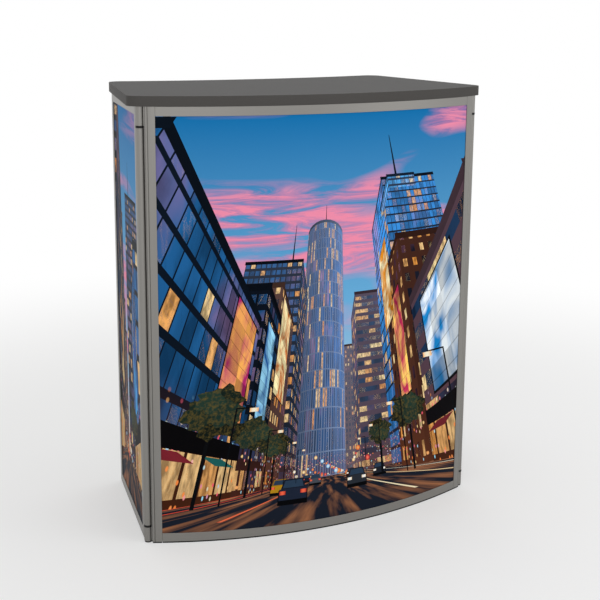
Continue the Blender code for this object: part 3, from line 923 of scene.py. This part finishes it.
facadeLook = {
    "mirrored": {"stretch": (0.07, 0.035, 1.0), "noise": {"Detail": 3.0, "Distortion": 0.8}},
    "rosy": levels(low=0.54, high=0.74, end=0.36),
    "rose": "#e08aa8",
    "jumps": (0.22, 0.06, 1.0),        # of the mirrored town, which starts anew in each pane
    "town": {"Scale": 1.0, "Detail": 5.0, "Distortion": 0.4},
    "townTones": levels(0.40, 0.58, 0.48, 1.30),
    "heightTones": levels(high=60.0, start=0.5, end=1.25),
    "warmth": ("#e9963e", "#ffe3a6"),
    "rooms": {
        "stretch": (1.3, 0.55, 1.0), "noise": {"Detail": 5.0},
        "levels": levels(0.38, 0.60, 0.42, 1.18)},
    "worn": levels(start=0.75, end=1.25),
    "dusk": levels(high=9.0, start=0.30, end=0.0),
    "duskColour": "#7a3f20",
    "haze": levels(low=50.0, high=330.0, end=0.5),
    "hazeColour": "#8f9fc2",
}


def windows(add, ink):
    # where a wall is open, and a random value and colour for each of its rooms
    inside, cells = [], []
    for key, size, share in (("along", ink["bay"][0], ink["bay"][2]), ("up", ink["bay"][1], ink["lit"][2])):
        count = add("Math", {0: ink[key], 1: size}, operation="DIVIDE")
        part = add("Math", {0: count}, operation="FRACT")
        offset = add("Math", {0: part, 1: 0.5}, operation="SUBTRACT")
        reach = add("Math", {0: offset}, operation="ABSOLUTE")
        double = add("Math", {0: reach, 1: 2.0}, operation="MULTIPLY")
        inside.append(add("Math", {0: double, 1: share}, operation="LESS_THAN"))
        cells.append(add("Math", {0: count}, operation="FLOOR"))
    opening = add("Math", {0: inside[0], 1: inside[1]}, operation="MULTIPLY")
    room = add("CombineXYZ", {0: cells[0], 1: cells[1], 2: ink["lit"][1]})
    chance = add("TexWhiteNoise", {"Vector": room}, noise_dimensions="3D")
    return opening, chance, chance.node.outputs["Color"]


def paintFacade(add, ink):
    # rows of windows: each pane mirrors the town in its own tone, and behind some of them a room is lit
    opening, chance, tones = windows(add, ink)
    mirrored = mottle(add, ink["spot"], facadeLook["mirrored"])
    rosy = add("MapRange", {"Value": mirrored, **facadeLook["rosy"]})
    glass = add("Mix", {0: rosy, 6: ink["pane"], 7: linear(facadeLook["rose"])})
    broken = add("VectorMath", {0: ink["spot"], 1: facadeLook["jumps"], 2: tones}, operation="MULTIPLY_ADD")
    town = add("TexNoise", {"Vector": broken, **facadeLook["town"]})
    bright = add("MapRange", {"Value": town, **facadeLook["townTones"]})
    height = add("MapRange", {"Value": ink["up"], **facadeLook["heightTones"]})
    level = add("Math", {0: bright, 1: height}, operation="MULTIPLY")
    panes = add("VectorMath", {0: glass, "Scale": level}, operation="SCALE")
    amber, cream = facadeLook["warmth"]
    tone = add("SeparateXYZ", {0: tones}, out=1)
    warmth = add("Mix", {0: tone, 6: linear(amber), 7: linear(cream)})
    filled = mottle(add, ink["spot"], facadeLook["rooms"])
    furnished = add("VectorMath", {0: warmth, "Scale": filled}, operation="SCALE")
    lit = add("Math", {0: chance, 1: ink["lit"][0]}, operation="LESS_THAN")
    rooms = add("Mix", {0: lit, 6: panes, 7: furnished})
    wall = toned(add, ink["wall"], mirrored, facadeLook["worn"])
    drawn = add("Mix", {0: opening, 6: wall, 7: rooms})
    dusk = add("MapRange", {"Value": ink["up"], **facadeLook["dusk"]})
    warmed = add("Mix", {0: dusk, 6: drawn, 7: linear(facadeLook["duskColour"])})
    haze = add("MapRange", {"Value": ink["away"], **facadeLook["haze"]})
    distant = add("Mix", {0: haze, 6: warmed, 7: linear(facadeLook["hazeColour"])})
    return shopLights(add, ink, distant)


lights = {
    "spacing": 1.15,           # how many to a metre
    "share": 0.42,
    "disc": levels(0.16, 0.26, 1.0, 0.0),
    "heights": levels(5.2, 8.5, 1.0, 0.0),
    "colours": [(0.0, "#ff7a2a"), (0.3, "#ffd890"), (0.5, "#9fe6ff"), (0.7, "#ff4f6e"), (1.0, "#fff6e0")],
}


def shopLights(add, ink, picture):
    # small round lights of many colours along the shop fronts
    discs = add("TexVoronoi", {"Vector": ink["spot"], "Scale": lights["spacing"]}, voronoi_dimensions="2D")
    draw = add("SeparateXYZ", {0: discs.node.outputs["Color"]})
    some = add("Math", {0: draw, 1: lights["share"]}, operation="LESS_THAN")
    disc = add("MapRange", {"Value": discs, **lights["disc"]})
    low = add("MapRange", {"Value": ink["up"], **lights["heights"]})
    dots = add("Math", {0: some, 1: disc}, operation="MULTIPLY")
    shown = add("Math", {0: dots, 1: low}, operation="MULTIPLY")
    colour = add("ValToRGB", {0: draw.node.outputs[1]}, stops=lights["colours"])
    return add("Mix", {0: shown, 6: picture, 7: colour})


plainLook = {"speckle": {"Scale": 0.8, "Detail": 3.0}, "tones": levels(start=0.8, end=1.2)}


def paintPlain(add, ink):
    # one colour, a little uneven
    speckle = add("TexNoise", {"Vector": ink["spot"], **plainLook["speckle"]})
    return toned(add, ink["wall"], speckle, plainLook["tones"])


def paintGlow(add, ink):
    # brightest along the middle line
    squared = add("Math", {0: ink["along"], 1: ink["along"]}, operation="MULTIPLY")
    core = add("Math", {0: 1.0, 1: squared}, operation="SUBTRACT")
    return add("Mix", {0: core, 6: ink["wall"], 7: ink["pane"]})


sparkCore = levels(0.3, 0.9, 1.0, 0.0)


def paintSpark(add, ink):
    # a disc of light, paler in the middle
    flat = add("CombineXYZ", {0: ink["along"], 1: ink["up"]})
    reach = add("VectorMath", {0: flat}, out=1, operation="LENGTH")
    core = add("MapRange", {"Value": reach, **sparkCore})
    return add("Mix", {0: core, 6: ink["wall"], 7: ink["pane"]})


leafTones = {
    "stretch": (3.2, 3.2, 3.2), "noise": {"Detail": 8.0, "Roughness": 0.7}, "levels": levels(0.46, 0.72)}


def paintLeaf(add, ink):
    # dark leaves, some of which catch the lamps
    return blended(add, ink, leafTones)


screenLook = {
    "shapes": {
        "stretch": (0.16, 0.11, 3.7), "noise": {"Detail": 2.0, "Distortion": 1.6},
        "levels": levels(0.36, 0.62)},
    "tile": (4.1, 3.2, 1.0),       # metres across and up
    "tileTones": levels(start=0.55, end=1.25),
    "row": 1.6,
    "gap": 0.08,                   # share of a row
    "gapTones": levels(start=1.0, end=0.6),
}


def paintScreen(add, ink):
    # soft shapes in two colours, on tiles of their own brightness with a dark gap between the rows
    picture = blended(add, ink, screenLook["shapes"])
    tiles = add("VectorMath", {0: ink["spot"], 1: screenLook["tile"]}, operation="DIVIDE")
    tile = add("VectorMath", {0: tiles}, operation="FLOOR")
    chance = add("TexWhiteNoise", {"Vector": tile}, noise_dimensions="3D")
    tiled = toned(add, picture, chance, screenLook["tileTones"])
    rows = add("Math", {0: ink["up"], 1: screenLook["row"]}, operation="DIVIDE")
    part = add("Math", {0: rows}, operation="FRACT")
    gap = add("Math", {0: part, 1: screenLook["gap"]}, operation="LESS_THAN")
    return toned(add, tiled, gap, screenLook["gapTones"])


painters = {"sky": paintSky, "road": paintRoad, "facade": paintFacade, "plain": paintPlain, "glow": paintGlow,
            "spark": paintSpark, "leaf": paintLeaf, "screen": paintScreen}
inkNames = list(painters)
inks = [printed(f"{name}Ink", paint) for name, paint in painters.items()]

film = {"gap": 0.00004, "thickness": 0.00012, "tolerance": 0.00001}


def covers(points, spot):
    # whether an outline goes round a spot: an odd number of its sides cross the line to the right
    inside = False
    for (x0, y0), (x1, y1) in zip(points, points[1:] + points[:1]):
        if (y0 > spot.y) != (y1 > spot.y) and spot.x < x0 + (spot.y - y0) / (y1 - y0) * (x1 - x0):
            inside = not inside
    return inside


def partition(sheet, columns):
    # cuts the sheet along every outline, and gives each bit to the shape drawn last over it
    left, right, low, high = sheet["edges"]
    points, edges = [], []
    for shape in sheet["shapes"]:
        start, count = len(points), len(shape["points"])
        points += [Vector(point) for point in shape["points"]]
        edges += [(start + k, start + (k + 1) % count) for k in range(count)]
    for k in range(1, columns):
        x = left + (right - left) * k / columns
        edges.append((len(points), len(points) + 1))
        points += [Vector((x, low)), Vector((x, high))]
    spots, _, bits, _, _, _ = delaunay_2d_cdt(points, edges, [], 0, film["tolerance"], False)
    kept = []
    for bit in bits:
        centre = sum((spots[corner] for corner in bit), Vector((0, 0))) / len(bit)
        if left < centre.x < right and low < centre.y < high:
            owner = next(k for k in reversed(range(len(sheet["shapes"])))
                         if covers(sheet["shapes"][k]["points"], centre))
            kept.append((bit, owner))
    return spots, kept


def filmMesh(name, sheet, place, columns):
    # the printed film: its face carries the picture, and its edges and back are closed
    spots, kept = partition(sheet, columns)
    used = sorted({corner for bit, _ in kept for corner in bit})
    renumber = {old: new for new, old in enumerate(used)}
    flat = [spots[old] for old in used]
    bits = [[renumber[corner] for corner in bit] for bit, _ in kept]
    for bit in bits:
        a, b, c = (flat[corner] for corner in bit)
        if (b - a).cross(c - a) < 0:
            bit.reverse()
    count = len(flat)
    sides = dict.fromkeys(side for bit in bits for side in zip(bit, bit[1:] + bit[:1]))
    rim = [(b, a, a + count, b + count) for a, b in sides if (b, a) not in sides]
    back = [[corner + count for corner in reversed(bit)] for bit in bits]
    verts = [place(x, z, 0)[0] for x, z in flat] + [place(x, z, 1)[0] for x, z in flat]
    mesh = bpy.data.meshes.new(name)
    mesh.from_pydata(verts, [], bits + rim + back)
    for material in inks + [foamBoard]:
        mesh.materials.append(material)
    values = {key: [0.0] * (3 * len(mesh.loops)) for key in ("street", "wall", "pane", "bay", "lit")}
    normals = []
    for index, polygon in enumerate(mesh.polygons):
        drawn = index < len(bits)
        shape = sheet["shapes"][kept[index][1]] if drawn else None
        polygon.material_index = inkNames.index(shape["ink"]) if drawn else len(inks)
        polygon.use_smooth = True
        for loop in polygon.loop_indices:
            corner = mesh.loops[loop].vertex_index
            if not drawn:
                normals.append(polygon.normal.copy())
                continue
            x, z = flat[corner]
            normals.append(place(x, z, 0)[1])
            seen = shape["unmap"] @ Vector((x - sheet["middle"][0], z - sheet["middle"][1], 1))
            values["street"][3 * loop:3 * loop + 3] = seen
            for key in ("wall", "pane", "bay", "lit"):
                values[key][3 * loop:3 * loop + 3] = shape[key]
    for key, numbers in values.items():
        mesh.attributes.new(key, "FLOAT_VECTOR", "CORNER").data.foreach_set("vector", numbers)
    mesh.normals_split_custom_set(normals)
    return mesh


def onArc(x, z, level):
    # x is measured round the arc from its middle
    angle = x / plan["radius"]
    outward = Vector((math.sin(angle), -math.cos(angle), 0))
    lift = film["gap"] + film["thickness"] * (1 - level)
    spot = arcCentre + (plan["radius"] - plan["panelDepth"] + lift) * outward
    return Vector((spot.x, spot.y, z)), outward


def onFlat(hand, body):
    along, outward = sideAxes(hand)
    centre = hingePlace[body] + (plan["sideStart"] + plan["sideOpening"] / 2) * along

    def place(x, z, level):
        lift = plan["sideFace"] - plan["panelDepth"] + film["gap"] + film["thickness"] * (1 - level)
        spot = centre + hand * x * along + lift * outward
        return Vector((spot.x, spot.y, z)), outward
    return place


def addFilm(name, sheet, place, body, columns):
    piece = addObject(name, filmMesh(name, sheet, place, columns))
    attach(piece, body)
    print(name, len(piece.data.polygons), "faces")


addFilm("frontPrint", frontSheet, onArc, "front_frame", plan["steps"])
addFilm("leftPrint", leftSheet, onFlat(-1, "left_side"), "left_side", 1)
addFilm("rightPrint", rightSheet, onFlat(1, "right_side"), "right_side", 1)


# Floor, light and background

studio = {
    "floor": "#f4f4f3",
    "roughness": 0.9,
    "floorSize": 60.0,
    "fade": (0.9, 2.6),      # metres from the counter over which the floor turns to the white beyond it
    "lift": 0.35,            # share of that white close to the counter
    "world": 0.62,
    "aim": (0, 0, 0.55),
    "lampSize": 2.4,
    "lamps": [
        {"name": "keyLamp", "place": (-1.6, -3.8, 2.4), "power": 34.0},
        {"name": "fillLamp", "place": (2.8, -2.8, 2.0), "power": 22.0},
        {"name": "topLamp", "place": (0.2, 0.4, 3.4), "power": 20.0},
    ],
}


def seenDirectly(add):
    # 1 for what the camera sees, also by reflection or through something clear, and 0 for other light
    path = add("LightPath").node.outputs
    direct = add("Math", {0: path["Is Camera Ray"], 1: path["Is Glossy Ray"]}, operation="MAXIMUM")
    return add("Math", {0: direct, 1: path["Is Transmission Ray"]}, operation="MAXIMUM")


def makeFloor(settings):
    bpy.ops.mesh.primitive_plane_add(size=settings["floorSize"])
    floor = bpy.context.object
    floor.name = "studioFloor"
    material, add, shader = newMaterial("paintedFloor", settings["floor"], settings["roughness"])
    shader.inputs["Specular IOR Level"].default_value = 0.0
    here = add("TexCoord", out=3)
    reach = add("VectorMath", {0: here}, out=1, operation="LENGTH")
    near, far = settings["fade"]
    away = add("MapRange", {"Value": reach, **levels(near, far, settings["lift"])},
               interpolation_type="SMOOTHSTEP")
    seen = add("Math", {0: seenDirectly(add), 1: away}, operation="MULTIPLY")
    white = add("Emission", {"Color": (1, 1, 1, 1), "Strength": 1.0})
    mixed = add("MixShader", {0: seen, 1: shader.outputs[0], 2: white})
    feed(mixed, material.node_tree.nodes["Material Output"], "Surface")
    floor.data.materials.append(material)


def makeWorld(settings):
    world = bpy.data.worlds.new("studioWorld")
    bpy.context.scene.world = world
    world.use_nodes = True
    add = partial(addNode, world.node_tree)
    background = world.node_tree.nodes["Background"]
    strength = add("MapRange", {"Value": seenDirectly(add), **levels(start=settings["world"])})
    feed(strength, background, "Strength")
    background.inputs["Color"].default_value = (1, 1, 1, 1)


def makeLamps(settings):
    for lamp in settings["lamps"]:
        light = bpy.data.lights.new(lamp["name"], "AREA")
        light.size = settings["lampSize"]
        light.energy = lamp["power"]
        item = addObject(lamp["name"], light)
        item.location = lamp["place"]
        towards = Vector(settings["aim"]) - item.location
        item.rotation_euler = towards.to_track_quat("-Z", "Y").to_euler()


makeFloor(studio)
makeWorld(studio)
makeLamps(studio)
bpy.context.scene.view_settings.view_transform = "Standard"
print("studio ready")
